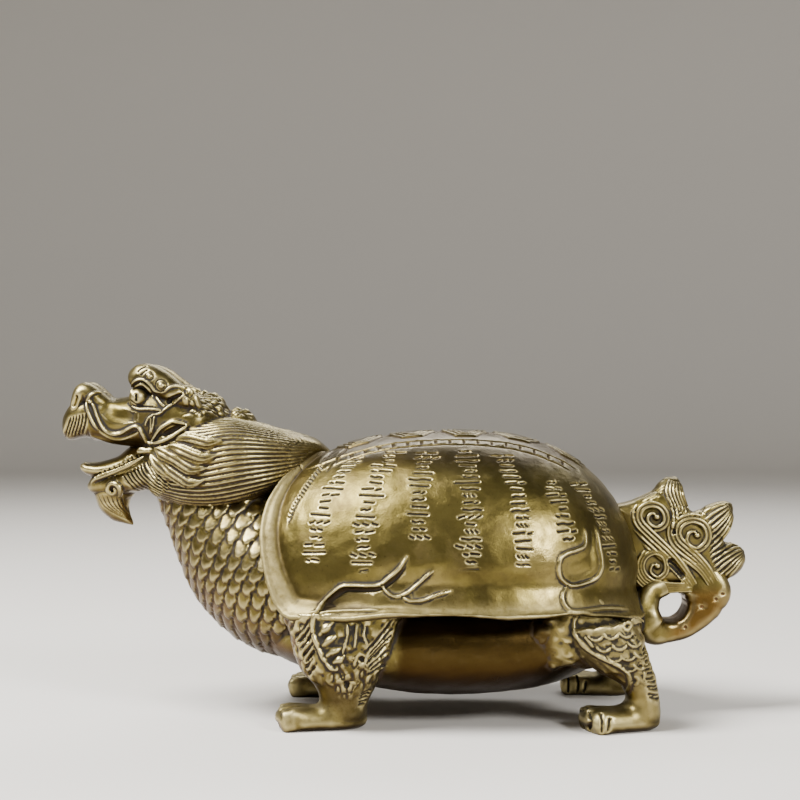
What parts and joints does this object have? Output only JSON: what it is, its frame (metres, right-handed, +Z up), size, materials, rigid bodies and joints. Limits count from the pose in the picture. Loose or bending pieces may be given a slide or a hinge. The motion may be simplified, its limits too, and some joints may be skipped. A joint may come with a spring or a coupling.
{
  "type": "dragon turtle figure",
  "caption": "Small cast brass figure of a standing turtle with a dragon's head and mane, a domed shell cut with rows of strokes, scaled legs and a curled tail.",
  "frame": {"origin": "on the ground plane of the four soles, under the middle of the overall box", "axes": "+X towards the tail, the head looks along -X; +Y the figure's own right side; +Z up"},
  "size_m": [0.11, 0.05, 0.056],
  "materials": {
    "cast_brass": "olive gold casting, worn bright on the high places, dark brown patina in the recesses"
  },
  "bodies": {
    "root": {"dragon_turtle": "cast_brass"}
  },
  "joints": []
}
